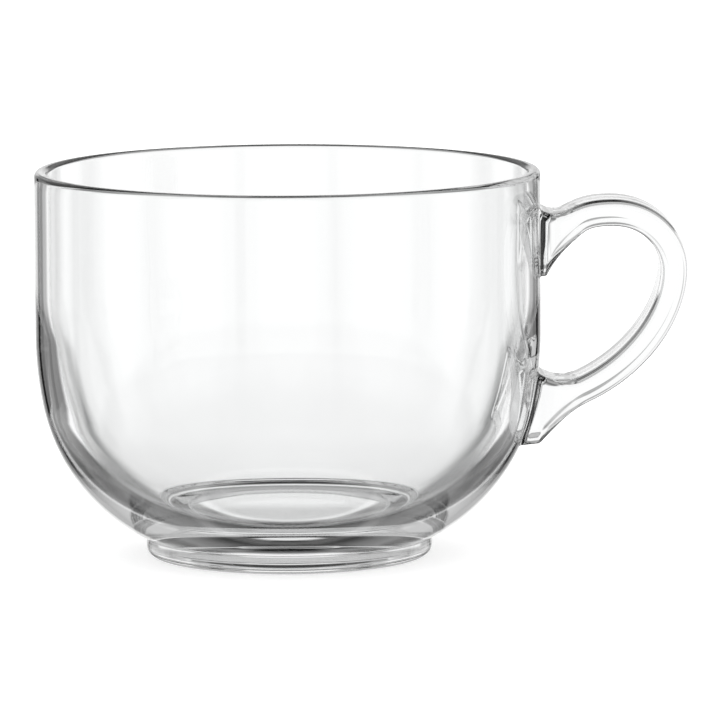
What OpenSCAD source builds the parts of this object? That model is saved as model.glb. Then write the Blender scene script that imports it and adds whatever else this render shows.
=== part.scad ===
// Clear glass mug: a wide, round-bottomed bowl on a low foot, with a pulled strap handle.
// Three pieces of glass, joined while hot. The origin is on the bowl's axis, on the table.
// +Z is up, and the handle points along +X.

/* [Bowl] */
// Outside radius of the straight upper wall
bowl_r = 59; // [52:0.5:68]
// Height of the rim above the table
rim_h = 90.5; // [82:0.5:105]
// Thickness of the straight wall and of the lip
wall_t = 3.2; // [2.6:0.1:4.2]
// Rounding of the lip's two edges
lip_round_r = 1.3; // [0.6:0.1:1.3]
// Height at which the outer wall starts to curve in
swell_h = 52.6; // [46:0.2:60]
// Radius of the gentle outer curve below the straight wall
swell_r = 87; // [75:1:110]
// Turn of the gentle outer curve, in degrees
swell_turn = 11; // [8:0.5:14]
// Outside radius of the bowl where it meets the foot
seat_r = 34; // [31:0.2:38]
// Height at which the inner wall starts to curve in
hollow_h = 62; // [56:0.5:68]
// Radius of the gentle inner curve below the straight wall
hollow_r = 100; // [90:1:120]
// Turn of the gentle inner curve, in degrees
hollow_turn = 15.8; // [13:0.1:18]
// Height of the flat floor inside, above the table
floor_h = 7.4; // [6.6:0.2:10]

/* [Foot] */
// Radius of the foot's side
foot_r = 33.5; // [31:0.1:34]
// Height of the foot
foot_h = 4.7; // [4.2:0.1:6]
// Rounding of the foot's lower edge
foot_round_r = 2.4; // [1.8:0.1:3.4]
// Radius of the shallow recess under the foot
recess_r = 26; // [22:0.5:27.5]
// Depth of the recess
recess_t = 1.8; // [1.2:0.1:2.4]
// Rounding inside the recess
recess_round_r = 1.2; // [0.5:0.1:1.2]

/* [Handle] */
// How far the handle reaches out from the straight wall
reach = 34; // [28:0.2:42]
// Thickness of the strap, seen from the side
strap_t = 6.3; // [4.8:0.1:7]
// Depth of the strap, seen from above
strap_d = 18; // [14:0.2:20]
// Rounding of the strap's edges
strap_round_r = 2.2; // [0.8:0.1:2.2]
// How far the strap's crest lies below the rim
crest_drop = 6.8; // [4:0.1:9]
// How far out from the wall the crest lies
crest_out = 16.4; // [14:0.2:20]
// How far below the rim the handle reaches farthest out
bend_drop = 23.1; // [20:0.1:26]
// How far below the rim the strap's middle meets the wall at the upper root
upper_root_drop = 14.6; // [13:0.1:18]
// How far the upper root spreads above the strap's upper face, at the wall
upper_root_above = 2.8; // [1:0.1:4]
// How far the upper root spreads below the strap's lower face, at the wall
upper_root_below = 6.8; // [4:0.1:8]
// Length over which the upper root thins to the strap
upper_root_flare = 13.8; // [10:0.1:18]
// Rise of the strap where it leaves the upper root, in degrees
upper_root_rise = 6; // [0:1:12]
// Height at which the strap's middle meets the wall at the lower root
lower_root_h = 36; // [32:0.2:42]
// How far the lower root spreads above the strap's upper face, at the wall
lower_root_above = 5.6; // [3:0.1:7]
// How far the lower root spreads below the strap's lower face, at the wall
lower_root_below = 6.2; // [3:0.1:7]
// Length over which the lower root thins to the strap
lower_root_flare = 12; // [9:0.1:16]
// Slope of the strap where it enters the lower root, in degrees
lower_root_slope = 6; // [0:0.5:14]
// Extra depth of both roots over the strap
root_extra_d = 2.4; // [0:0.2:4]

/* [Hidden] */
$fn = 128;

// Straight steps that stand for each curve of a turned outline
belly_steps = 20;
swell_steps = 6;
round_steps = 6;
// Sharper flares die away faster from the root
upper_flare_power = 4;
lower_flare_power = 2.1;
// Pull of each curve end, as a share of the distance between the curve's two ends
root_pull_share = 0.52;
crest_near_pull_share = 0.58;
crest_far_pull_share = 0.49;
bend_near_pull_share = 0.3;
bend_far_pull_share = 0.31;
lower_pull_share = 0.39;
// Rings on each of the strap's three curves, and points on each rounded edge
curve_rings = 16;
edge_points = 4;

inner_r = bowl_r - wall_t;

// Where the outer wall's gentle curve ends and the tighter one starts
swell_end = [
    bowl_r - swell_r * (1 - cos(swell_turn)),
    swell_h - swell_r * sin(swell_turn)
];
// The tighter outer curve carries on smoothly and ends where the bowl sits on the foot
seat_chord = [seat_r, foot_h] - swell_end;
seat_chord_turn = atan2(-seat_chord.x, -seat_chord.y) - swell_turn;
belly_r = norm(seat_chord) / (2 * sin(seat_chord_turn));
belly_centre = swell_end - belly_r * [cos(swell_turn), -sin(swell_turn)];

// Where the inner wall's gentle curve ends, and the tighter one that runs down to the floor
hollow_end = [
    inner_r - hollow_r * (1 - cos(hollow_turn)),
    hollow_h - hollow_r * sin(hollow_turn)
];
heel_r = (hollow_end.y - floor_h) / (1 - sin(hollow_turn));
heel_centre = [hollow_end.x - heel_r * cos(hollow_turn), floor_h + heel_r];

// Points along an arc, from one angle to another. Its last point is left to what follows it.
function arc(centre, radius, from, to, steps) =
    [for (i = [0 : steps - 1])
        let (turn = from + (to - from) * i / steps)
        centre + radius * [cos(turn), sin(turn)]];

// The bowl's side, from its seat on the foot up to the lip
seat_turn = atan2(foot_h - belly_centre.y, seat_r - belly_centre.x);
side = concat(
    arc(belly_centre, belly_r, seat_turn, -swell_turn, belly_steps),
    arc([bowl_r - swell_r, swell_h], swell_r, -swell_turn, 0, swell_steps),
    [[bowl_r, swell_h]]
);
// The lip's two rounded edges
lip_centre_h = rim_h - lip_round_r;
lip = concat(
    arc([bowl_r - lip_round_r, lip_centre_h], lip_round_r, 0, 90, round_steps),
    [[bowl_r - lip_round_r, rim_h]],
    arc([inner_r + lip_round_r, lip_centre_h], lip_round_r, 90, 180, round_steps),
    [[inner_r, lip_centre_h]]
);
// The hollow's side, from the straight wall down to the floor
hollow = concat(
    arc([inner_r - hollow_r, hollow_h], hollow_r, 0, -hollow_turn, swell_steps),
    arc(heel_centre, heel_r, -hollow_turn, -90, belly_steps),
    [[heel_centre.x, floor_h]]
);

// The bowl: straight wall, rounded belly and flat floor
module bowl() {
    color([0.80, 0.88, 0.90], 0.5)
        rotate_extrude() polygon(concat([[0, foot_h]], side, lip, hollow, [[0, floor_h]]));
}

// The foot: a low puck under the bowl, hollowed so that it stands on a ring
module foot() {
    foot_edge = arc([foot_r - foot_round_r, foot_round_r], foot_round_r, -90, 0, round_steps);
    recess_edge = arc([recess_r - recess_round_r, recess_t - recess_round_r],
                      recess_round_r, 90, 0, round_steps);
    color([0.70, 0.80, 0.83], 0.6)
        rotate_extrude()
            polygon(concat(
                [[0, foot_h], [0, recess_t]],
                recess_edge,
                [[recess_r, recess_t - recess_round_r], [recess_r, 0]],
                foot_edge,
                [[foot_r, foot_round_r], [foot_r, foot_h]]
            ));
}

// Outside radius of the bowl at a height on its side
function side_r(z) =
    z >= swell_h ? bowl_r
    : z >= swell_end.y ? bowl_r - swell_r + sqrt(pow(swell_r, 2) - pow(swell_h - z, 2))
    : belly_centre.x + sqrt(pow(belly_r, 2) - pow(belly_centre.y - z, 2));

// The strap's middle line runs from root to root, through the crest and the bend
upper_root = [bowl_r, rim_h - upper_root_drop];
upper_dir = [cos(upper_root_rise), sin(upper_root_rise)];
crest = [bowl_r + crest_out, rim_h - crest_drop - strap_t / 2];
bend = [bowl_r + reach - strap_t / 2, rim_h - bend_drop];
lower_root = [side_r(lower_root_h), lower_root_h];
lower_dir = [-cos(lower_root_slope), -sin(lower_root_slope)];

// A cubic curve and its direction, from p to q, pulled along pd and qd at its ends
function curve_at(p, pd, q, qd, t) =
    let (a = p + pd, b = q - qd)
    pow(1 - t, 3) * p + 3 * pow(1 - t, 2) * t * a + 3 * (1 - t) * t * t * b + pow(t, 3) * q;
function curve_dir(p, pd, q, qd, t) =
    let (a = p + pd, b = q - qd,
         v = pow(1 - t, 2) * (a - p) + 2 * (1 - t) * t * (b - a) + t * t * (q - b))
    v / norm(v);

// The three curves, each as [start, start pull, end, end pull]
function pulled(p, pd, p_share, q, qd, q_share) =
    [p, pd * norm(q - p) * p_share, q, qd * norm(q - p) * q_share];
curves = [
    pulled(upper_root, upper_dir, root_pull_share, crest, [1, 0], crest_near_pull_share),
    pulled(crest, [1, 0], crest_far_pull_share, bend, [0, -1], bend_near_pull_share),
    pulled(bend, [0, -1], bend_far_pull_share, lower_root, lower_dir, lower_pull_share)
];

// Stations along the middle line, each as [place, direction]. The first and the last lie
// inside the bowl, deep enough for the whole root to be cut by the bowl's side.
root_bury = strap_t + max(upper_root_above, upper_root_below, lower_root_above, lower_root_below);
stations = [
    [upper_root - upper_dir * root_bury, upper_dir],
    for (c = curves)
        for (i = [0 : curve_rings - 1])
            let (t = i / curve_rings)
                [curve_at(c[0], c[1], c[2], c[3], t), curve_dir(c[0], c[1], c[2], c[3], t)],
    [lower_root, lower_dir],
    [lower_root + lower_dir * root_bury, lower_dir]
];
last = len(stations) - 1;

// Distance along the middle line from the upper root's wall to each station
function run_to(i) = i <= 1 ? 0 : run_to(i - 1) + norm(stations[i][0] - stations[i - 1][0]);
runs = [for (i = [0 : last]) run_to(min(i, last - 1))];
strap_run = runs[last - 1];

// How much of a root is left at a distance from its wall: 1 at the wall, 0 on the strap
function left_of(run, flare, power) = pow(max(0, 1 - run / flare), power);
function upper_left(i) = left_of(runs[i], upper_root_flare, upper_flare_power);
function lower_left(i) = left_of(strap_run - runs[i], lower_root_flare, lower_flare_power);
// Half thickness of the strap on each side of its middle line. Going round from the upper
// root to the lower one, the left side is the outer face and the right side the inner one.
function left_t(i) =
    strap_t / 2 + upper_root_above * upper_left(i) + lower_root_below * lower_left(i);
function right_t(i) =
    strap_t / 2 + upper_root_below * upper_left(i) + lower_root_above * lower_left(i);
function depth_at(i) = strap_d + root_extra_d * (upper_left(i) + lower_left(i));

// One ring round the strap: a rounded rectangle, square to the middle line
ring_points = 4 * (edge_points + 1);
function ring(i) =
    let (p = stations[i][0], d = stations[i][1], left = [-d.y, d.x],
         out = left_t(i) - strap_round_r, in = right_t(i) - strap_round_r,
         w = depth_at(i) / 2 - strap_round_r)
    [for (corner = [0 : 3]) for (k = [0 : edge_points])
        let (turn = 90 * (corner + k / edge_points),
             across = (corner == 0 || corner == 3 ? out : -in) + strap_round_r * cos(turn),
             along_y = (corner < 2 ? w : -w) + strap_round_r * sin(turn),
             q = p + left * across)
        [q.x, along_y, q.y]];

// The strap as one closed skin: rings joined by triangles, with a flat cap at each end
module strap() {
    points = [for (i = [0 : last]) each ring(i)];
    sides = [for (i = [0 : last - 1]) for (k = [0 : ring_points - 1])
        let (a = i * ring_points + k, b = i * ring_points + (k + 1) % ring_points)
        each [[a, a + ring_points, b], [b, a + ring_points, b + ring_points]]];
    caps = [
        [for (k = [0 : ring_points - 1]) k],
        [for (k = [ring_points - 1 : -1 : 0]) last * ring_points + k]
    ];
    polyhedron(points, concat(sides, caps), convexity = 6);
}

// The handle: the strap, with both roots cut to the bowl's side
module handle() {
    color([0.86, 0.93, 0.95], 0.55)
        difference() {
            strap();
            rotate_extrude() polygon(concat([[0, foot_h]], side, [[bowl_r, rim_h], [0, rim_h]]));
        }
}

bowl();
foot();
handle();
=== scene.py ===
# Clear glass mug, dressed for a white studio shot. Lengths are in millimetres until the last step.
import math
import bmesh
import bpy
import numpy as np
from mathutils import Matrix, Quaternion, Vector
from mathutils.geometry import delaunay_2d_cdt


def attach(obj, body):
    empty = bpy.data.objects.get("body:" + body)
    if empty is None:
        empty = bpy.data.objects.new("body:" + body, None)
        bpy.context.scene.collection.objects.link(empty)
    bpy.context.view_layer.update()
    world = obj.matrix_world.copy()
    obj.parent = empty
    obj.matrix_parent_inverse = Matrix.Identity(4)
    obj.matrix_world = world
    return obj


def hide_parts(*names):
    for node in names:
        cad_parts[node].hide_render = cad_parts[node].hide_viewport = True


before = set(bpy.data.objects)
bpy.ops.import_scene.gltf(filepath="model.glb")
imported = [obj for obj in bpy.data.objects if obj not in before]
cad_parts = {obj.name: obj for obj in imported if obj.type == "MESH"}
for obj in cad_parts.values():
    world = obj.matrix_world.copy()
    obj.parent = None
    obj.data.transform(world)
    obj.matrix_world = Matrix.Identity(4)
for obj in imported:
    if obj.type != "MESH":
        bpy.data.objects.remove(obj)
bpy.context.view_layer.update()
mm = 0.001
print("frame loaded:", sorted(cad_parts))

# the photographer's long lens, a little above the rim; the handle points a hair away from it
shot = {
    "across": 16.74, "height": 45.57, "distance": 1718.0, "elevation": 7.5, "side": 1.0,
    "turn": -0.27, "lens": 367.7, "sensor": 36, "nearest": 0.05, "farthest": 40}


def placeCamera(s):
    up, side = math.radians(s["elevation"]), math.radians(s["side"])
    back = Vector((-math.sin(side) * math.cos(up), -math.cos(side) * math.cos(up), math.sin(up)))
    target = Vector((math.cos(side) * s["across"], -math.sin(side) * s["across"], s["height"]))
    data = bpy.data.cameras.new("camera")
    data.lens = s["lens"]
    data.sensor_width = s["sensor"]
    data.clip_start, data.clip_end = s["nearest"], s["farthest"]
    cam = bpy.data.objects.new("camera", data)
    cam.location = (target + back * s["distance"]) * mm
    cam.rotation_mode = "QUATERNION"
    roll = Quaternion((0, 0, 1), math.radians(s["turn"]))
    cam.rotation_quaternion = (-back).to_track_quat("-Z", "Y") @ roll
    bpy.context.scene.collection.objects.link(cam)
    bpy.context.scene.camera = cam


placeCamera(shot)
print("camera placed")


# small helpers for node trees
def addNode(tree, kind, **settings):
    made = tree.nodes.new(kind)
    for key, value in settings.items():
        setattr(made, key, value)
    return made


def setInput(tree, made, name, value):
    # value is a socket to link, or a plain value for the socket itself
    socket = made.inputs[name]
    if isinstance(value, bpy.types.NodeSocket):
        tree.links.new(value, socket)
    else:
        socket.default_value = value


def mathNode(tree, operation, a, b=None, c=None, clamp=False):
    made = addNode(tree, "ShaderNodeMath", operation=operation, use_clamp=clamp)
    for index, value in enumerate((a, b, c)):
        if value is not None:
            setInput(tree, made, index, value)
    return made.outputs[0]


def rangeNode(tree, value, start, end, low=0.0, high=1.0, kind="SMOOTHSTEP"):
    made = addNode(tree, "ShaderNodeMapRange", interpolation_type=kind)
    setInput(tree, made, "Value", value)
    for name, limit in (("From Min", start), ("From Max", end), ("To Min", low), ("To Max", high)):
        setInput(tree, made, name, limit)
    return made.outputs[0]


def newTree(name, inputs):
    tree = bpy.data.node_groups.new(name, "GeometryNodeTree")
    for label, kind in inputs:
        tree.interface.new_socket(name=label, in_out="INPUT", socket_type=kind)
    tree.interface.new_socket(name="Geometry", in_out="OUTPUT", socket_type="NodeSocketGeometry")
    return tree, addNode(tree, "NodeGroupInput").outputs, addNode(tree, "NodeGroupOutput").inputs


def finishTree(tree, geometry, material, output):
    smooth = addNode(tree, "GeometryNodeSetShadeSmooth")
    setInput(tree, smooth, "Geometry", geometry)
    real = addNode(tree, "GeometryNodeRealizeInstances")
    setInput(tree, real, "Geometry", smooth.outputs[0])
    dressed = addNode(tree, "GeometryNodeSetMaterial")
    setInput(tree, dressed, "Geometry", real.outputs[0])
    setInput(tree, dressed, "Material", material)
    tree.links.new(dressed.outputs[0], output)


def runTree(tree, name, values):
    # puts the tree on an empty mesh, and gives back the plain mesh that it makes
    holder = bpy.data.objects.new(name, bpy.data.meshes.new(name))
    bpy.context.scene.collection.objects.link(holder)
    modifier = holder.modifiers.new(name, "NODES")
    modifier.node_group = tree
    for item in tree.interface.items_tree:
        if item.in_out == "INPUT":
            modifier[item.identifier] = values[item.name]
    graph = bpy.context.evaluated_depsgraph_get()
    mesh = bpy.data.meshes.new_from_object(holder.evaluated_get(graph))
    mesh.materials.clear()
    bpy.data.objects.remove(holder)
    return mesh


def guideCurve(name, points):
    # a polyline that a tree reads, point by point
    data = bpy.data.curves.new(name, "CURVE")
    data.dimensions = "3D"
    spline = data.splines.new("POLY")
    spline.points.add(len(points) - 1)
    for made, p in zip(spline.points, points):
        made.co = (*p, 1)
    guide = bpy.data.objects.new(name, data)
    bpy.context.scene.collection.objects.link(guide)
    return guide


# the lathe: a grid whose rows stand on the profile's points and whose columns go round the axis
def makeLatheTree():
    tree, given, out = newTree("latheTree", [
        ("Profile", "NodeSocketObject"), ("Segments", "NodeSocketInt"),
        ("Material", "NodeSocketMaterial")])
    profile = addNode(tree, "GeometryNodeObjectInfo")
    setInput(tree, profile, "Object", given["Profile"])
    size = addNode(tree, "GeometryNodeAttributeDomainSize", component="CURVE")
    setInput(tree, size, "Geometry", profile.outputs["Geometry"])
    rows = size.outputs["Point Count"]
    grid = addNode(tree, "GeometryNodeMeshGrid")
    columns = addNode(tree, "FunctionNodeIntegerMath", operation="ADD")
    setInput(tree, columns, 0, given["Segments"])
    setInput(tree, columns, 1, 1)
    setInput(tree, grid, "Vertices X", columns.outputs[0])
    setInput(tree, grid, "Vertices Y", rows)
    index = addNode(tree, "GeometryNodeInputIndex").outputs[0]
    row = addNode(tree, "FunctionNodeIntegerMath", operation="MODULO")
    column = addNode(tree, "FunctionNodeIntegerMath", operation="DIVIDE_FLOOR")
    for made in (row, column):
        setInput(tree, made, 0, index)
        setInput(tree, made, 1, rows)
    at = addNode(tree, "GeometryNodeSampleIndex", data_type="FLOAT_VECTOR", domain="POINT")
    setInput(tree, at, "Geometry", profile.outputs["Geometry"])
    setInput(tree, at, "Value", addNode(tree, "GeometryNodeInputPosition").outputs[0])
    setInput(tree, at, "Index", row.outputs[0])
    share = mathNode(tree, "DIVIDE", column.outputs[0], given["Segments"])
    turned = addNode(tree, "ShaderNodeVectorRotate", rotation_type="Z_AXIS")
    setInput(tree, turned, "Vector", at.outputs[0])
    setInput(tree, turned, "Angle", mathNode(tree, "MULTIPLY", share, 2 * math.pi))
    placed = addNode(tree, "GeometryNodeSetPosition")
    setInput(tree, placed, "Geometry", grid.outputs["Mesh"])
    setInput(tree, placed, "Position", turned.outputs[0])
    closed = addNode(tree, "GeometryNodeMergeByDistance")
    setInput(tree, closed, "Geometry", placed.outputs[0])
    setInput(tree, closed, "Distance", 0.001)
    finishTree(tree, closed.outputs[0], given["Material"], out["Geometry"])
    return tree


# the strap: rings along a path, each a rounded rectangle that spreads at both roots
def makeStrapTree():
    tree, given, out = newTree("strapTree", [
        ("Path", "NodeSocketObject"), ("Section", "NodeSocketObject"), ("Rings", "NodeSocketInt"),
        ("Thickness", "NodeSocketFloat"), ("Depth", "NodeSocketFloat"),
        ("Edge Radius", "NodeSocketFloat"),
        ("Upper Flare", "NodeSocketFloat"), ("Upper Power", "NodeSocketFloat"),
        ("Upper Outside", "NodeSocketFloat"), ("Upper Inside", "NodeSocketFloat"),
        ("Lower Flare", "NodeSocketFloat"), ("Lower Power", "NodeSocketFloat"),
        ("Lower Outside", "NodeSocketFloat"), ("Lower Inside", "NodeSocketFloat"),
        ("Root Depth", "NodeSocketFloat"), ("Material", "NodeSocketMaterial")])
    path = addNode(tree, "GeometryNodeObjectInfo")
    setInput(tree, path, "Object", given["Path"])
    section = addNode(tree, "GeometryNodeObjectInfo")
    setInput(tree, section, "Object", given["Section"])
    size = addNode(tree, "GeometryNodeAttributeDomainSize", component="CURVE")
    setInput(tree, size, "Geometry", section.outputs["Geometry"])
    around = size.outputs["Point Count"]
    grid = addNode(tree, "GeometryNodeMeshGrid")
    setInput(tree, grid, "Vertices X", given["Rings"])
    setInput(tree, grid, "Vertices Y", around)
    index = addNode(tree, "GeometryNodeInputIndex").outputs[0]
    spot = addNode(tree, "FunctionNodeIntegerMath", operation="MODULO")
    ring = addNode(tree, "FunctionNodeIntegerMath", operation="DIVIDE_FLOOR")
    for made in (spot, ring):
        setInput(tree, made, 0, index)
        setInput(tree, made, 1, around)
    # how far along the path each ring lies
    length = addNode(tree, "GeometryNodeCurveLength")
    setInput(tree, length, "Curve", path.outputs["Geometry"])
    lastRing = mathNode(tree, "SUBTRACT", given["Rings"], 1)
    share = mathNode(tree, "DIVIDE", ring.outputs[0], lastRing)
    run = mathNode(tree, "MULTIPLY", share, length.outputs[0])
    left = mathNode(tree, "SUBTRACT", length.outputs[0], run)
    onPath = addNode(tree, "GeometryNodeSampleCurve", mode="LENGTH")
    setInput(tree, onPath, "Curves", path.outputs["Geometry"])
    setInput(tree, onPath, "Length", run)
    # the section's points hold a place on its core (x, y) and the turn of its rounded edge (z)
    at = addNode(tree, "GeometryNodeSampleIndex", data_type="FLOAT_VECTOR", domain="POINT")
    setInput(tree, at, "Geometry", section.outputs["Geometry"])
    setInput(tree, at, "Value", addNode(tree, "GeometryNodeInputPosition").outputs[0])
    setInput(tree, at, "Index", spot.outputs[0])
    core = addNode(tree, "ShaderNodeSeparateXYZ")
    setInput(tree, core, 0, at.outputs[0])

    def rootShare(distance, flare, power):
        away = mathNode(tree, "DIVIDE", distance, flare)
        near = mathNode(tree, "SUBTRACT", 1.0, away, clamp=True)
        return mathNode(tree, "POWER", near, power)

    upper = rootShare(run, given["Upper Flare"], given["Upper Power"])
    lower = rootShare(left, given["Lower Flare"], given["Lower Power"])

    def halfSize(full, upperSize, lowerSize):
        half = mathNode(tree, "DIVIDE", full, 2.0)
        half = mathNode(tree, "SUBTRACT", half, given["Edge Radius"])
        half = mathNode(tree, "MULTIPLY_ADD", upper, upperSize, half)
        return mathNode(tree, "MULTIPLY_ADD", lower, lowerSize, half)

    outside = halfSize(given["Thickness"], given["Upper Outside"], given["Lower Outside"])
    inside = halfSize(given["Thickness"], given["Upper Inside"], given["Lower Inside"])
    halfRoot = mathNode(tree, "DIVIDE", given["Root Depth"], 2.0)
    wide = halfSize(given["Depth"], halfRoot, halfRoot)
    toOutside = mathNode(tree, "MULTIPLY_ADD", core.outputs[0], 0.5, 0.5)
    span = mathNode(tree, "ADD", outside, inside)
    across = mathNode(tree, "SUBTRACT", mathNode(tree, "MULTIPLY", toOutside, span), inside)
    across = mathNode(tree, "MULTIPLY_ADD", mathNode(tree, "COSINE", core.outputs[2]),
                      given["Edge Radius"], across)
    along = mathNode(tree, "MULTIPLY", core.outputs[1], wide)
    along = mathNode(tree, "MULTIPLY_ADD", mathNode(tree, "SINE", core.outputs[2]),
                     given["Edge Radius"], along)
    # the outside direction is the path's direction turned a quarter in the handle's plane
    heading = addNode(tree, "ShaderNodeSeparateXYZ")
    setInput(tree, heading, 0, onPath.outputs["Tangent"])
    outward = addNode(tree, "ShaderNodeCombineXYZ")
    setInput(tree, outward, 0, mathNode(tree, "MULTIPLY", heading.outputs[2], -1.0))
    setInput(tree, outward, 2, heading.outputs[0])
    stepOut = addNode(tree, "ShaderNodeVectorMath", operation="SCALE")
    setInput(tree, stepOut, 0, outward.outputs[0])
    setInput(tree, stepOut, "Scale", across)
    sideways = addNode(tree, "ShaderNodeCombineXYZ")
    setInput(tree, sideways, 1, along)
    moved = addNode(tree, "ShaderNodeVectorMath", operation="ADD")
    setInput(tree, moved, 0, stepOut.outputs[0])
    setInput(tree, moved, 1, sideways.outputs[0])
    ended = addNode(tree, "ShaderNodeVectorMath", operation="ADD")
    setInput(tree, ended, 0, moved.outputs[0])
    setInput(tree, ended, 1, onPath.outputs["Position"])
    placed = addNode(tree, "GeometryNodeSetPosition")
    setInput(tree, placed, "Geometry", grid.outputs["Mesh"])
    setInput(tree, placed, "Position", ended.outputs[0])
    finishTree(tree, placed.outputs[0], given["Material"], out["Geometry"])
    return tree


latheTree = makeLatheTree()
strapTree = makeStrapTree()
print("geometry node trees built")

# the bowl's sizes, from its seat on the foot round the lip and down to the floor inside
bowl = {
    "radius": 59.0, "height": 90.5, "wall": 3.2, "lipRounding": 1.3,
    "swellHeight": 52.6, "swellRadius": 87.0, "swellTurn": 11.0,
    "seatRadius": 34.0, "seatHeight": 4.7,
    "hollowHeight": 62.0, "hollowRadius": 100.0, "hollowTurn": 15.8, "floorHeight": 7.4,
    "segments": 256, "seatEdge": 2, "bellySteps": 40, "swellSteps": 14, "wallSteps": 18,
    "lipSteps": 12, "innerSteps": 12, "hollowSteps": 18, "heelSteps": 36, "floorSteps": 6,
    # the side that is cut anew round the handle: degrees to each side, lowest and highest
    "window": (14.5, 18.0, 88.6), "padClearance": 0.45}


def arcPoints(centre, radius, start, end, steps):
    # all but the last point of an arc, from one angle to another
    turns = [math.radians(start + (end - start) * i / steps) for i in range(steps)]
    return [(centre[0] + radius * math.cos(t), centre[1] + radius * math.sin(t)) for t in turns]


def linePoints(start, end, steps):
    # all but the last point of a straight run
    dx, dy = end[0] - start[0], end[1] - start[1]
    return [(start[0] + dx * i / steps, start[1] + dy * i / steps) for i in range(steps)]


def sideOfBowl(b):
    # where the swell ends, and the radius and centre of the belly's curve below it
    turn = math.radians(b["swellTurn"])
    swellEnd = (b["radius"] - b["swellRadius"] * (1 - math.cos(turn)),
                b["swellHeight"] - b["swellRadius"] * math.sin(turn))
    chord = (b["seatRadius"] - swellEnd[0], b["seatHeight"] - swellEnd[1])
    chordTurn = math.atan2(-chord[0], -chord[1]) - turn
    bellyRadius = math.hypot(*chord) / (2 * math.sin(chordTurn))
    bellyCentre = (swellEnd[0] - bellyRadius * math.cos(turn),
                   swellEnd[1] + bellyRadius * math.sin(turn))
    return swellEnd, bellyRadius, bellyCentre


swellEnd, bellyRadius, bellyCentre = sideOfBowl(bowl)


def sideRadius(z):
    # the bowl's outside radius at a height, for plain numbers and for arrays
    swell = bowl["radius"] - bowl["swellRadius"] + np.sqrt(
        np.maximum(bowl["swellRadius"] ** 2 - (bowl["swellHeight"] - z) ** 2, 0))
    belly = bellyCentre[0] + np.sqrt(np.maximum(bellyRadius ** 2 - (bellyCentre[1] - z) ** 2, 0))
    curved = np.where(z >= swellEnd[1], swell, belly)
    return np.where(z >= bowl["swellHeight"], bowl["radius"], curved)


def sideNormals(points):
    # outward directions on the bowl's side
    z = points[:, 2]
    drop = np.where(z >= bowl["swellHeight"], 0.0, np.where(
        z >= swellEnd[1], (bowl["swellHeight"] - z) / bowl["swellRadius"],
        (bellyCentre[1] - z) / bellyRadius))
    level = np.sqrt(1 - drop ** 2)
    around = np.arctan2(points[:, 1], points[:, 0])
    return np.column_stack([level * np.cos(around), level * np.sin(around), -drop])


def bowlProfile(b):
    turn = math.degrees(math.atan2(b["seatHeight"] - bellyCentre[1],
                                   b["seatRadius"] - bellyCentre[0]))
    lip, inner = b["lipRounding"], b["radius"] - b["wall"]
    lipHeight = b["height"] - lip
    hollow = math.radians(b["hollowTurn"])
    hollowEnd = (inner - b["hollowRadius"] * (1 - math.cos(hollow)),
                 b["hollowHeight"] - b["hollowRadius"] * math.sin(hollow))
    heelRadius = (hollowEnd[1] - b["floorHeight"]) / (1 - math.sin(hollow))
    heel = (hollowEnd[0] - heelRadius * math.cos(hollow), b["floorHeight"] + heelRadius)
    swellCentre = (b["radius"] - b["swellRadius"], b["swellHeight"])
    hollowCentre = (inner - b["hollowRadius"], b["hollowHeight"])
    points = [(0, b["seatHeight"]), (b["seatRadius"] - b["seatEdge"], b["seatHeight"])]
    points += arcPoints(bellyCentre, bellyRadius, turn, -b["swellTurn"], b["bellySteps"])
    points += arcPoints(swellCentre, b["swellRadius"], -b["swellTurn"], 0, b["swellSteps"])
    points += linePoints((b["radius"], b["swellHeight"]), (b["radius"], lipHeight), b["wallSteps"])
    points += arcPoints((b["radius"] - lip, lipHeight), lip, 0, 90, b["lipSteps"])
    points += arcPoints((inner + lip, lipHeight), lip, 90, 180, b["lipSteps"])
    points += linePoints((inner, lipHeight), (inner, b["hollowHeight"]), b["innerSteps"])
    points += arcPoints(hollowCentre, b["hollowRadius"], 0, -b["hollowTurn"], b["hollowSteps"])
    points += arcPoints(heel, heelRadius, -b["hollowTurn"], -90, b["heelSteps"])
    points += linePoints((heel[0], b["floorHeight"]), (0, b["floorHeight"]), b["floorSteps"])
    points += [(0, b["floorHeight"])]
    return [(r, 0, z) for r, z in points]


# the foot's sizes, with the small fillets that hot glass leaves in its corners
foot = {
    "radius": 33.5, "height": 4.7, "edgeRounding": 2.4, "waistFillet": 0.5,
    "recessRadius": 26.0, "recessDepth": 1.8, "recessRounding": 1.2, "lipRounding": 0.5,
    "seatEdge": 2, "flatSteps": 8, "cornerSteps": 8, "filletSteps": 6, "ringSteps": 4,
    "edgeSteps": 18}


def footProfile(f):
    r, h, edge, waist = f["radius"], f["height"], f["edgeRounding"], f["waistFillet"]
    cut, deep = f["recessRadius"], f["recessDepth"]
    corner, lip = f["recessRounding"], f["lipRounding"]
    points = linePoints((0, deep), (cut - corner, deep), f["flatSteps"])
    points += arcPoints((cut - corner, deep - corner), corner, 90, 0, f["cornerSteps"])
    points += arcPoints((cut + lip, lip), lip, 180, 270, f["filletSteps"])
    points += linePoints((cut + lip, 0), (r - edge, 0), f["ringSteps"])
    points += arcPoints((r - edge, edge), edge, -90, 0, f["edgeSteps"])
    points += [(r, edge)]
    points += arcPoints((r + waist, h - waist), waist, 180, 90, f["filletSteps"])
    points += [(r + waist, h), (r + waist - f["seatEdge"], h), (0, h)]
    return [(x, 0, z) for x, z in points]


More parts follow.
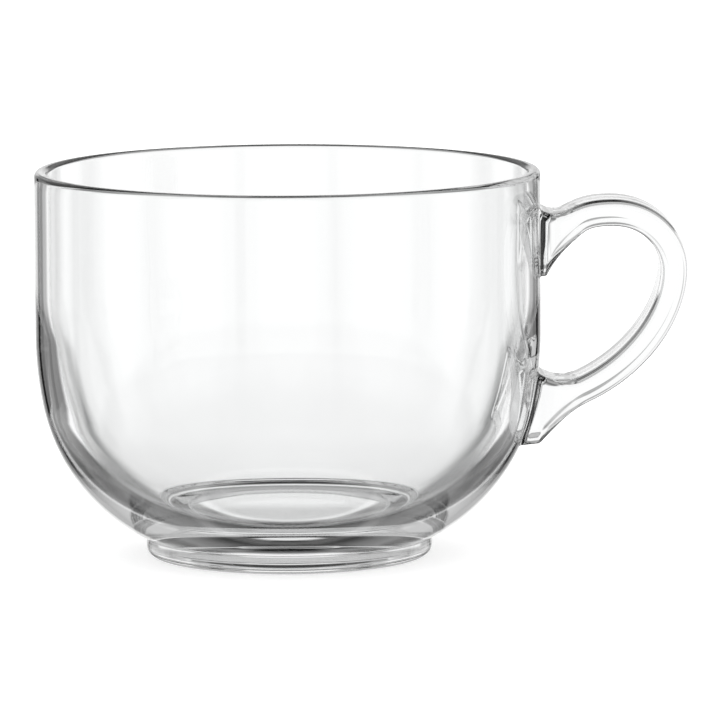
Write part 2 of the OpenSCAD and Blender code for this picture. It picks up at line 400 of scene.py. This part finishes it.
# the handle's middle line and strap, with what each root adds where it meets the wall
handle = {
    "upperRoot": (59.0, 75.9), "upperRise": 6.0, "crest": (75.4, 80.55), "bend": (89.85, 67.4),
    "lowerRootHeight": 36.0, "lowerSlope": 6.0,
    # how far the line is pulled straight after and before its knots, as shares of their distance
    "pulls": ((0.52, 0.58), (0.49, 0.30), (0.31, 0.39)), "lineSteps": 64,
    "thickness": 6.3, "depth": 18.0, "edgeRadius": 2.2, "edgeSteps": 6,
    "sideShares": (0.0, 0.03, 0.12, 0.3, 0.5, 0.7, 0.88, 0.97),
    # each flare: how long, how sudden, and what it adds outside and inside the loop
    "upperFlare": (13.8, 4.0, 2.8, 6.8), "lowerFlare": (12.0, 2.1, 6.2, 5.6), "rootDepth": 2.4,
    "sideFillet": 1.5, "edgeFillet": 0.5, "filletRings": 9,
    "rings": 150, "upperRings": 24, "lowerRings": 21, "grownRings": 24, "grownCrowding": 1.3}


def handleLine(h):
    # one free curve through the roots, the crest and the bend
    rise, slope = math.radians(h["upperRise"]), math.radians(h["lowerSlope"])
    knots = [h["upperRoot"], h["crest"], h["bend"],
             (float(sideRadius(h["lowerRootHeight"])), h["lowerRootHeight"])]
    ways = [(math.cos(rise), math.sin(rise)), (1, 0), (0, -1),
            (-math.cos(slope), -math.sin(slope))]
    data = bpy.data.curves.new("handleLine", "CURVE")
    data.dimensions = "3D"
    spline = data.splines.new("BEZIER")
    spline.resolution_u = h["lineSteps"]
    last = len(knots) - 1
    spline.bezier_points.add(last)
    for index, (knot, way) in enumerate(zip(knots, ways)):
        point = spline.bezier_points[index]
        point.handle_left_type = point.handle_right_type = "FREE"
        before = math.dist(knot, knots[index - 1]) * h["pulls"][index - 1][1] if index else 1
        after = math.dist(knot, knots[index + 1]) * h["pulls"][index][0] if index < last else 1
        point.co = (knot[0], 0, knot[1])
        point.handle_left = (knot[0] - way[0] * before, 0, knot[1] - way[1] * before)
        point.handle_right = (knot[0] + way[0] * after, 0, knot[1] + way[1] * after)
    line = bpy.data.objects.new("handleLine", data)
    bpy.context.scene.collection.objects.link(line)
    return line, ways[0], ways[-1]


def strapSection(h):
    # places on the strap's core, each with the turn of the rounded edge there
    corners = ((1, 1), (-1, 1), (-1, -1), (1, -1))
    steps, points = h["edgeSteps"], []
    for quarter, (x, y) in enumerate(corners):
        nextX, nextY = corners[(quarter + 1) % 4]
        points += [(x, y, math.radians(90 * (quarter + k / steps))) for k in range(steps)]
        turn = math.radians(90 * (quarter + 1))
        points += [(x + (nextX - x) * s, y + (nextY - y) * s, turn) for s in h["sideShares"]]
    return points + [points[0]]


def growRoot(lines, way, h):
    # the strap's lines run on to the bowl's side, and turn out there in a small fillet
    # (how finely and how far they run on, and how many steps are searched for the side)
    stride, reach, ahead = 0.25, 8, 30
    steps = np.arange(stride, reach, stride)[::-1, None, None]
    lines = np.concatenate([lines[0] - steps * np.array([way[0], 0, way[1]]), lines])
    gaps = np.hypot(lines[:, :, 0], lines[:, :, 1]) - sideRadius(lines[:, :, 2])
    spots = range(lines.shape[1])
    starts = [np.nonzero(gaps[:, i] <= 0)[0].max() for i in spots]

    def placeAt(i, gap):
        part = slice(starts[i], starts[i] + ahead)
        return [np.interp(gap, gaps[part, i], lines[part, i, k]) for k in range(3)]

    base = np.array([placeAt(i, 0) for i in spots])
    outward = np.cross(np.roll(base, -1, axis=0) - np.roll(base, 1, axis=0), sideNormals(base))
    outward /= np.linalg.norm(outward, axis=1, keepdims=True)
    outward *= np.sign(np.sum(outward * (base - base.mean(axis=0))))
    radius = h["edgeFillet"] + (h["sideFillet"] - h["edgeFillet"]) * outward[:, 1] ** 2
    rings = []
    for turn in np.linspace(math.pi / 2, 0, h["filletRings"]):
        places = np.array([placeAt(i, radius[i] * (1 - math.sin(turn))) for i in spots])
        rings.append(places + outward * (radius * (1 - math.cos(turn)))[:, None])
    edge = rings[0]
    edge[:, :2] *= (sideRadius(edge[:, 2]) / np.hypot(edge[:, 0], edge[:, 1]))[:, None]
    # from the fillet on, evenly along each line to the plain strap
    shares = np.linspace(0, 1, h["grownRings"] + 1)[1:] ** h["grownCrowding"]
    grown = np.empty((len(shares), len(spots), 3))
    for i in spots:
        beyond = np.nonzero(gaps[:, i] > radius[i])[0]
        line = np.vstack([rings[-1][i], lines[beyond[beyond >= starts[i]], i]])
        run = np.concatenate([[0], np.cumsum(np.linalg.norm(np.diff(line, axis=0), axis=1))])
        for k in range(3):
            grown[:, i, k] = np.interp(shares * run[-1], run, line[:, k])
    return np.concatenate([rings, grown])


def plainMesh(name, points, faces):
    mesh = bpy.data.meshes.new(name)
    mesh.from_pydata([tuple(p) for p in points], [], faces)
    mesh.update()
    return mesh


def inLoop(loop, x, y):
    # whether a point lies inside a closed outline
    x0, y0 = loop[:, 0], loop[:, 1]
    x1, y1 = np.roll(x0, -1), np.roll(y0, -1)
    rise = np.where(y1 == y0, 1, y1 - y0)
    crosses = ((y0 > y) != (y1 > y)) & (x < (x1 - x0) * (y - y0) / rise + x0)
    return bool(np.sum(crosses) % 2)


def unroll(points):
    # the bowl's side laid flat
    points = np.asarray(points)
    return np.column_stack([np.arctan2(points[:, 1], points[:, 0]) * bowl["radius"], points[:, 2]])


def printPads(mesh, pads, b):
    # the bowl's side is cut anew around the handle, so that its faces share the pads' outlines
    work = bmesh.new()
    work.from_mesh(mesh)
    turn, low, high = b["window"]
    sideCloseness, sameSpot = 0.2, 1e-6

    def inWindow(face):
        c = face.calc_center_median()
        onSide = abs(math.hypot(c.x, c.y) - float(sideRadius(c.z))) < sideCloseness
        return onSide and low < c.z < high and abs(math.degrees(math.atan2(c.y, c.x))) < turn

    cut = [f for f in work.faces if inWindow(f)]
    chosen = set(cut)
    rimEdges = [e for f in cut for e in f.edges if any(g not in chosen for g in e.link_faces)]
    rim = list({v for e in rimEdges for v in e.verts})
    inner = [v for v in {v for f in cut for v in f.verts} - set(rim)]
    innerPlaces = np.array([tuple(v.co) for v in inner])
    flatPads = [unroll(p) for p in pads]
    flatInner = unroll(innerPlaces)
    far = np.ones(len(inner), bool)
    for loop in flatPads:
        gaps = np.linalg.norm(flatInner[:, None] - loop[None], axis=2).min(axis=1)
        far &= gaps > b["padClearance"]
    places = [tuple(v.co) for v in rim]
    spotOf = {v: i for i, v in enumerate(rim)}
    edges = [tuple(spotOf[v] for v in e.verts) for e in rimEdges]
    for pad in pads:
        start = len(places)
        places += [tuple(p) for p in pad]
        edges += [(start + i, start + (i + 1) % len(pad)) for i in range(len(pad))]
    places += [tuple(p) for p in innerPlaces[far]]
    flat = unroll(places)
    made = delaunay_2d_cdt([Vector(p) for p in flat], edges, [], 1, sameSpot)
    source = [ids[0] for ids in made[3]]
    bmesh.ops.delete(work, geom=cut, context="FACES_ONLY")
    bmesh.ops.delete(work, geom=[e for e in work.edges if not e.link_faces], context="EDGES")
    bmesh.ops.delete(work, geom=[v for v in work.verts if not v.link_faces], context="VERTS")
    verts = [rim[i] if i < len(rim) else None for i in range(len(places))]
    caps = [[] for _ in pads]
    for triangle in made[2]:
        corners = [source[i] for i in triangle]
        middle = flat[corners].mean(axis=0)
        for i in corners:
            if verts[i] is None:
                verts[i] = work.verts.new(places[i])
        face = work.faces.new([verts[i] for i in corners])
        face.smooth = True
        for pad, loop in enumerate(flatPads):
            if inLoop(loop, *middle):
                face.material_index = 1
                caps[pad].append([places[i] for i in corners])
    work.to_mesh(mesh)
    work.free()
    return caps


def dressSide(mesh):
    # exact directions on the bowl's side, so that the cut leaves no trace in the glass
    places = np.array([tuple(v.co) for v in mesh.vertices])
    normals = np.array([tuple(v.normal) for v in mesh.vertices])
    close = 0.01
    gap = np.abs(np.hypot(places[:, 0], places[:, 1]) - sideRadius(places[:, 2]))
    side = (gap < close) & (places[:, 2] < bowl["height"] - bowl["lipRounding"] + close)
    normals[side] = sideNormals(places[side])
    mesh.normals_split_custom_set_from_vertices([tuple(n) for n in normals])


def toObject(mesh, name, materials):
    for material in materials:
        mesh.materials.append(material)
    mesh.transform(Matrix.Scale(mm, 4))
    piece = bpy.data.objects.new(name, mesh)
    bpy.context.scene.collection.objects.link(piece)
    return piece


def buildHandle(h, glass):
    line, upperWay, lowerWay = handleLine(h)
    section = guideCurve("strapSection", strapSection(h))
    values = {"Path": line, "Section": section, "Rings": h["rings"], "Thickness": h["thickness"],
              "Depth": h["depth"], "Edge Radius": h["edgeRadius"], "Root Depth": h["rootDepth"],
              "Material": glass}
    for end, flare in (("Upper", h["upperFlare"]), ("Lower", h["lowerFlare"])):
        for name, value in zip(("Flare", "Power", "Outside", "Inside"), flare):
            values[end + " " + name] = value
    mesh = runTree(strapTree, "handleStrap", values)
    around = len(section.data.splines[0].points)
    rings = np.array([tuple(v.co) for v in mesh.vertices]).reshape(h["rings"], around, 3)[:, :-1]
    bpy.data.objects.remove(line)
    bpy.data.objects.remove(section)
    bpy.data.meshes.remove(mesh)
    top, low = h["upperRings"], h["lowerRings"]
    topRoot = growRoot(rings[:top], upperWay, h)
    lowRoot = growRoot(rings[::-1][:low], (-lowerWay[0], -lowerWay[1]), h)
    return np.concatenate([topRoot, rings[top:-low], lowRoot[::-1]])


def closeHandle(rings, caps, name):
    count, around = rings.shape[:2]
    points = rings.reshape(-1, 3)
    faces = []
    for ring in range(count - 1):
        for i in range(around):
            j = (i + 1) % around
            a, b = ring * around, (ring + 1) * around
            faces.append((a + i, b + i, b + j, a + j))
    mesh = plainMesh(name, points, faces)
    # the strap's own directions, taken before the caps are on; its ends lie flush on the bowl
    normals = np.array([tuple(v.normal) for v in mesh.vertices])
    ends = list(range(around)) + list(range((count - 1) * around, count * around))
    middles = rings.mean(axis=1).repeat(around, axis=0)
    away = np.sum(normals * (points - middles))
    normals[ends] = sideNormals(points[ends]) * np.sign(away)
    digits = 5
    spotOf = {tuple(np.round(points[i], digits)): i for i in ends}
    places, vertices, triangles = list(points), list(normals), []
    for cap in caps:
        for triangle in cap:
            ids = []
            for p in triangle:
                key = tuple(np.round(p, digits))
                if key not in spotOf:
                    spotOf[key] = len(places)
                    places.append(np.array(p))
                    vertices.append(-sideNormals(np.array([p]))[0])
                ids.append(spotOf[key])
            triangles.append(tuple(reversed(ids)))
    if away < 0:
        faces = [tuple(reversed(f)) for f in faces]
        vertices = [-v for v in normals] + vertices[len(normals):]
    whole = plainMesh(name, places, faces + triangles)
    for polygon in whole.polygons:
        polygon.use_smooth = True
        polygon.material_index = 1 if polygon.index >= len(faces) else 0
    whole.normals_split_custom_set_from_vertices([tuple(v) for v in vertices])
    return whole


# the glass: colourless, with the faint waves of pressed ware and a few dull smudges
glassLook = {
    "ior": 1.52, "tint": (0.985, 0.992, 0.992, 1.0), "paler": (0.996, 0.998, 0.998, 1.0),
    "waveSize": 38.0, "waveDepth": 0.012, "smudgeSize": 24.0, "smudge": 0.012,
    "smudgeFrom": 0.55, "smudgeTo": 0.9}


def makeGlass(look):
    material = bpy.data.materials.new("clearGlass")
    material.use_nodes = True
    tree = material.node_tree
    glass = tree.nodes["Principled BSDF"]
    glass.inputs["Metallic"].default_value = 0
    glass.inputs["Transmission Weight"].default_value = 1
    glass.inputs["IOR"].default_value = look["ior"]
    place = addNode(tree, "ShaderNodeTexCoord").outputs["Object"]
    cloud = addNode(tree, "ShaderNodeTexNoise")
    setInput(tree, cloud, "Vector", place)
    setInput(tree, cloud, "Scale", look["smudgeSize"])
    setInput(tree, cloud, "Detail", 3.0)
    tone = addNode(tree, "ShaderNodeMix", data_type="RGBA")
    setInput(tree, tone, "Factor", cloud.outputs["Fac"])
    ends = [socket for socket in tone.inputs if socket.type == "RGBA"]
    ends[0].default_value, ends[1].default_value = look["tint"], look["paler"]
    colour = [socket for socket in tone.outputs if socket.type == "RGBA"][0]
    tree.links.new(colour, glass.inputs["Base Color"])
    dull = rangeNode(tree, cloud.outputs["Fac"], look["smudgeFrom"], look["smudgeTo"],
                     0.0, look["smudge"], "LINEAR")
    tree.links.new(dull, glass.inputs["Roughness"])
    wave = addNode(tree, "ShaderNodeTexNoise")
    setInput(tree, wave, "Vector", place)
    setInput(tree, wave, "Scale", look["waveSize"])
    setInput(tree, wave, "Detail", 1.0)
    bump = addNode(tree, "ShaderNodeBump")
    setInput(tree, bump, "Height", wave.outputs["Fac"])
    setInput(tree, bump, "Distance", look["waveDepth"] * mm)
    setInput(tree, bump, "Strength", 1.0)
    tree.links.new(bump.outputs["Normal"], glass.inputs["Normal"])
    return material


def makeJoint():
    # where two pieces were melted together there is no surface left to see
    material = bpy.data.materials.new("fusedJoint")
    material.use_nodes = True
    tree = material.node_tree
    tree.nodes.remove(tree.nodes["Principled BSDF"])
    clear = addNode(tree, "ShaderNodeBsdfTransparent")
    tree.links.new(clear.outputs[0], tree.nodes["Material Output"].inputs["Surface"])
    return material


glass, joint = makeGlass(glassLook), makeJoint()
print("glass mixed")

rings = buildHandle(handle, glass)
print("handle strap swept:", rings.shape)


def turnOnLathe(name, profile, segments):
    guide = guideCurve(name + "Profile", profile)
    mesh = runTree(latheTree, name, {"Profile": guide, "Segments": segments, "Material": glass})
    bpy.data.objects.remove(guide)
    return mesh


def atHeight(place, height):
    tolerance = 1e-4
    return abs(place.z - height) < tolerance


def fuseAt(mesh, height):
    # the faces at this height are melted to the next piece
    for polygon in mesh.polygons:
        if atHeight(polygon.center, height):
            polygon.material_index = 1


bowlMesh = turnOnLathe("bowlBody", bowlProfile(bowl), bowl["segments"])
caps = printPads(bowlMesh, [rings[0], rings[-1]], bowl)
fuseAt(bowlMesh, bowl["seatHeight"])
dressSide(bowlMesh)
bowlPiece = toObject(bowlMesh, "glassBowl", [glass, joint])
print("bowl turned and cut for the handle")

footMesh = turnOnLathe("footRing", footProfile(foot), bowl["segments"])
fuseAt(footMesh, foot["height"])
footMesh.normals_split_custom_set_from_vertices([
    (0, 0, -1) if atHeight(v.co, foot["height"]) else tuple(v.normal) for v in footMesh.vertices])
footPiece = toObject(footMesh, "glassFoot", [glass, joint])
print("foot turned")

handlePiece = toObject(closeHandle(rings, caps, "handleStrap"), "glassHandle", [glass, joint])
for piece, node in ((bowlPiece, "bowl"), (footPiece, "foot"), (handlePiece, "handle")):
    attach(piece, "root")
    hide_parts(node)
print("glass pieces built")

# a white floor, and round it eight white panels with grey gaps that draw the glass's edges
studio = {
    "floorRadius": 3000.0, "floorSides": 96, "floorColour": (0.9, 0.9, 0.9, 1.0), "floorLift": 0.6,
    # degrees from a panel's middle: half the pitch, half a panel and where it narrows low down,
    # its soft edge, and the start of the dark strip in the gap
    "halfPitch": 22.5, "panelWidth": 11.0, "lowPanelWidth": 5.0, "narrowFrom": -15.0,
    "narrowTo": -26.0, "panelEdge": 5.0, "lineFrom": 19.0, "lineTo": 21.0,
    # light by height in degrees, towards the middle of a panel and towards the gap beside it
    "panelLevels": (
        (-90, 0.0), (-68, 0.0), (-65.5, 0.95), (-63.5, 0.95), (-61, 0.0), (-46, 0.0), (-40, 0.1),
        (-35, 0.4), (-31, 0.85), (-28, 1.0), (-22, 1.03), (8, 1.03), (12, 0.3), (18, 0.5),
        (32, 0.5), (38, 0.1), (45, 0.0), (70, 0.0), (76, 0.5), (90, 0.5)),
    "gapLevels": (
        (-90, 0.0), (-68, 0.0), (-65.5, 0.95), (-63.5, 0.95), (-60, 0.05), (-45, 0.4), (-36, 0.45),
        (-28, 0.15), (-20, 0.4), (-12, 0.5), (-4, 0.55), (6, 0.65), (12, 0.5), (20, 0.65),
        (30, 0.65), (42, 0.3), (57, 0.02), (75, 0.3)),
    # how dark the strips in the gaps are, and what share of gaps and strips is left in front
    "lineLevels": ((-90, 0.0), (-30, 0.0), (-22, 0.95), (2, 0.95), (6, 0.0), (90, 0.0)),
    "frontGap": 0.25, "frontLine": 0.25, "frontEdge": 0.3,
    # light mirrored inside the glass: deeper greys, then even, and dark after many turns
    "insideDepth": 1.0, "mirrorKeep": 0.5, "mirrorLevel": 0.62,
    "trappedFrom": 12.0, "trappedTo": 18.0, "trappedLevel": 0.1,
    "bounces": 40, "mirrorBounces": 24, "jointBounces": 16}


def sharpRays(tree, light):
    # what comes through glass or off it
    return mathNode(tree, "MAXIMUM", light["Is Transmission Ray"], light["Is Glossy Ray"])


def levelRamp(tree, height, levels):
    # light by height, in straight steps between the given levels
    ramp = addNode(tree, "ShaderNodeValToRGB")
    setInput(tree, ramp, 0, mathNode(tree, "MULTIPLY_ADD", height, 1 / 180, 0.5))
    stops = ramp.color_ramp.elements
    while len(stops) < len(levels):
        stops.new(1.0)
    for stop, (degrees, level) in zip(stops, levels):
        stop.position = degrees / 180 + 0.5
        stop.color = (level, level, level, 1)
    return ramp.outputs["Color"]


def blendNode(tree, share, a, b):
    made = addNode(tree, "ShaderNodeMix", data_type="FLOAT")
    for name, value in (("Factor", share), ("A", a), ("B", b)):
        setInput(tree, made, name, value)
    return made.outputs[0]


def makeWorld(s):
    world = bpy.data.worlds.new("studioWorld")
    bpy.context.scene.world = world
    world.use_nodes = True
    tree = world.node_tree
    background = tree.nodes["Background"]
    way = addNode(tree, "ShaderNodeTexCoord").outputs["Generated"]
    parts = addNode(tree, "ShaderNodeSeparateXYZ")
    setInput(tree, parts, 0, way)
    x, y, z = parts.outputs
    around = mathNode(tree, "DEGREES", mathNode(tree, "ARCTAN2", y, x))
    across = mathNode(tree, "PINGPONG", around, s["halfPitch"])
    height = mathNode(tree, "DEGREES", mathNode(tree, "ARCSINE", z))
    width = rangeNode(tree, height, s["narrowTo"], s["narrowFrom"], s["lowPanelWidth"],
                      s["panelWidth"], "LINEAR")
    gap = rangeNode(tree, mathNode(tree, "SUBTRACT", across, width), 0.0, s["panelEdge"])
    line = rangeNode(tree, across, s["lineFrom"], s["lineTo"])
    behind = rangeNode(tree, y, -s["frontEdge"], s["frontEdge"])
    gapShare = mathNode(tree, "MULTIPLY_ADD", behind, 1 - s["frontGap"], s["frontGap"])
    lineShare = mathNode(tree, "MULTIPLY_ADD", behind, 1 - s["frontLine"], s["frontLine"])
    panels = levelRamp(tree, height, s["panelLevels"])
    gaps = levelRamp(tree, height, s["gapLevels"])
    seen = blendNode(tree, mathNode(tree, "MULTIPLY", gap, gapShare), panels, gaps)
    dark = mathNode(tree, "MULTIPLY", lineShare, levelRamp(tree, height, s["lineLevels"]))
    dark = mathNode(tree, "MULTIPLY", dark, line)
    seen = mathNode(tree, "MULTIPLY", seen, mathNode(tree, "SUBTRACT", 1.0, dark))
    light = addNode(tree, "ShaderNodeLightPath").outputs
    inside = mathNode(tree, "MULTIPLY", mathNode(tree, "MINIMUM", light["Glossy Depth"], 1.0),
                      mathNode(tree, "MINIMUM", light["Transmission Depth"], 1.0))
    depth = mathNode(tree, "MULTIPLY_ADD", inside, s["insideDepth"], 1.0)
    seen = mathNode(tree, "POWER", seen, depth)
    repeats = mathNode(tree, "SUBTRACT", light["Glossy Depth"], 1.0)
    repeats = mathNode(tree, "MAXIMUM", repeats, 0.0)
    kept = mathNode(tree, "POWER", s["mirrorKeep"], repeats)
    seen = blendNode(tree, kept, s["mirrorLevel"], seen)
    trapped = rangeNode(tree, repeats, s["trappedFrom"], s["trappedTo"], 1.0, s["trappedLevel"])
    seen = mathNode(tree, "MULTIPLY", seen, trapped)
    # only glass sees the panels: the camera and the floor have even white light
    sharp = sharpRays(tree, light)
    plain = mathNode(tree, "SUBTRACT", 1.0, sharp)
    strength = mathNode(tree, "MULTIPLY_ADD", seen, sharp, plain)
    tree.links.new(strength, background.inputs["Strength"])
    background.inputs["Color"].default_value = (1, 1, 1, 1)


def makeFloor(s):
    mesh = bpy.data.meshes.new("studioFloor")
    work = bmesh.new()
    bmesh.ops.create_circle(work, cap_ends=True, segments=s["floorSides"],
                            radius=s["floorRadius"] * mm)
    work.to_mesh(mesh)
    work.free()
    floor = bpy.data.objects.new("studioFloor", mesh)
    bpy.context.scene.collection.objects.link(floor)
    material = bpy.data.materials.new("studioFloor")
    material.use_nodes = True
    tree = material.node_tree
    paint = tree.nodes["Principled BSDF"]
    paint.inputs["Base Color"].default_value = s["floorColour"]
    paint.inputs["Roughness"].default_value = 1.0
    paint.inputs["Specular IOR Level"].default_value = 0.0
    paint.inputs["Emission Color"].default_value = (1, 1, 1, 1)
    light = addNode(tree, "ShaderNodeLightPath").outputs
    lift = mathNode(tree, "MULTIPLY", light["Is Camera Ray"], s["floorLift"])
    tree.links.new(lift, paint.inputs["Emission Strength"])
    mix = addNode(tree, "ShaderNodeMixShader")
    setInput(tree, mix, 0, sharpRays(tree, light))
    tree.links.new(paint.outputs[0], mix.inputs[1])
    tree.links.new(addNode(tree, "ShaderNodeBsdfTransparent").outputs[0], mix.inputs[2])
    tree.links.new(mix.outputs[0], tree.nodes["Material Output"].inputs["Surface"])
    mesh.materials.append(material)


makeWorld(studio)
makeFloor(studio)
print("studio set")

scene = bpy.context.scene
scene.view_settings.view_transform = "Standard"
scene.cycles.max_bounces = scene.cycles.transmission_bounces = studio["bounces"]
scene.cycles.glossy_bounces = studio["mirrorBounces"]
scene.cycles.transparent_max_bounces = studio["jointBounces"]
